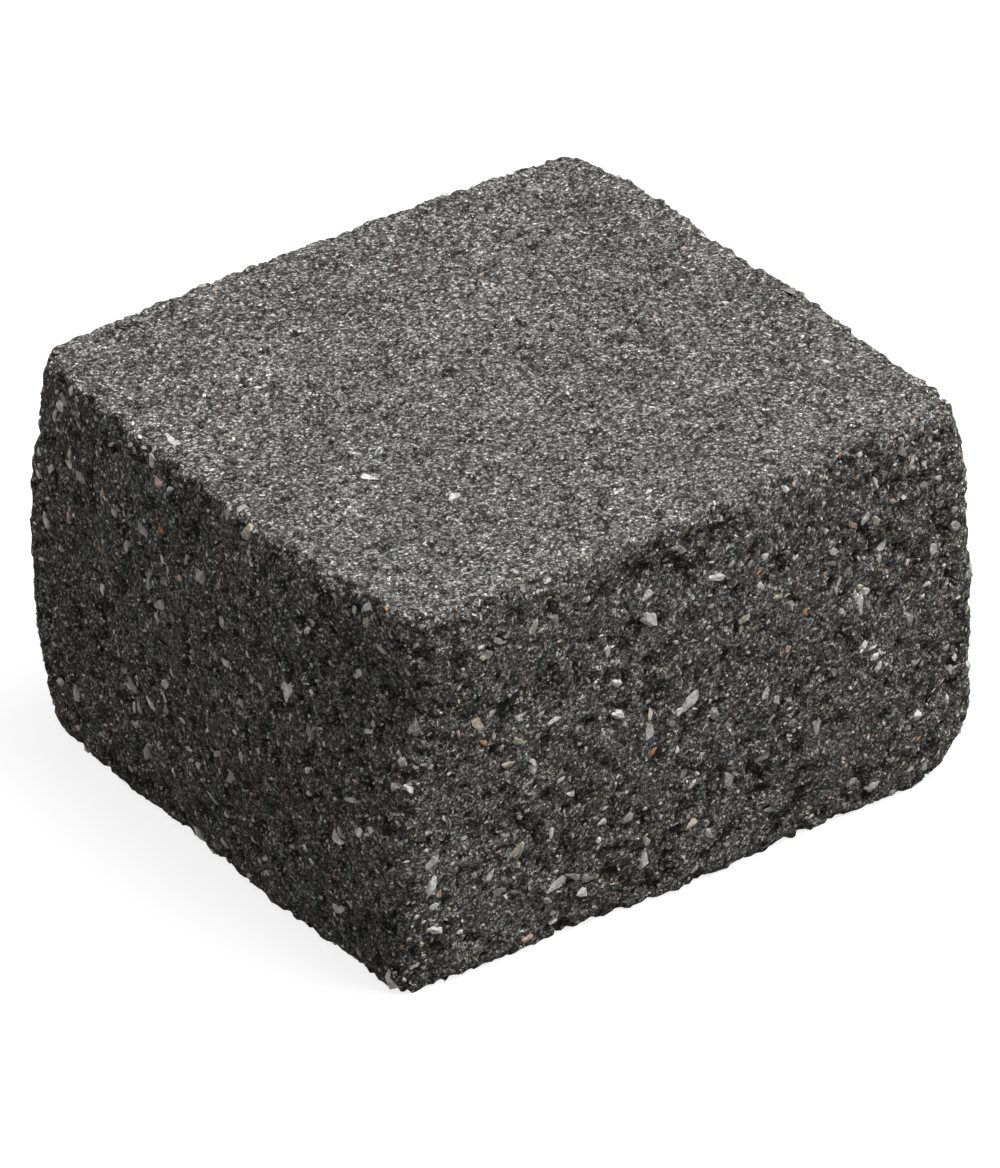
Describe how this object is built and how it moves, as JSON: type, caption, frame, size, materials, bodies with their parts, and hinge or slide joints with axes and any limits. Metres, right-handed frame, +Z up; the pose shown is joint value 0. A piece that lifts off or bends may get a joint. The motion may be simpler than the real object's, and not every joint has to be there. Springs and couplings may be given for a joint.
{
  "type": "concrete wall block",
  "caption": "Solid split-faced concrete block with flat pressed bed faces and rough, slightly bulging split sides, for stacking in low garden walls and edgings.",
  "frame": {"origin": "centre of the bottom bed face, on the level surface that the block rests on", "axes": "+X along the block's length, -Y out of the long split face with the spalled corner, +Z up out of the top bed face"},
  "size_m": [0.24, 0.22, 0.14],
  "materials": {
    "split_concrete": "rough split"
  },
  "bodies": {
    "root": {"wall_block": "split_concrete"}
  },
  "joints": []
}
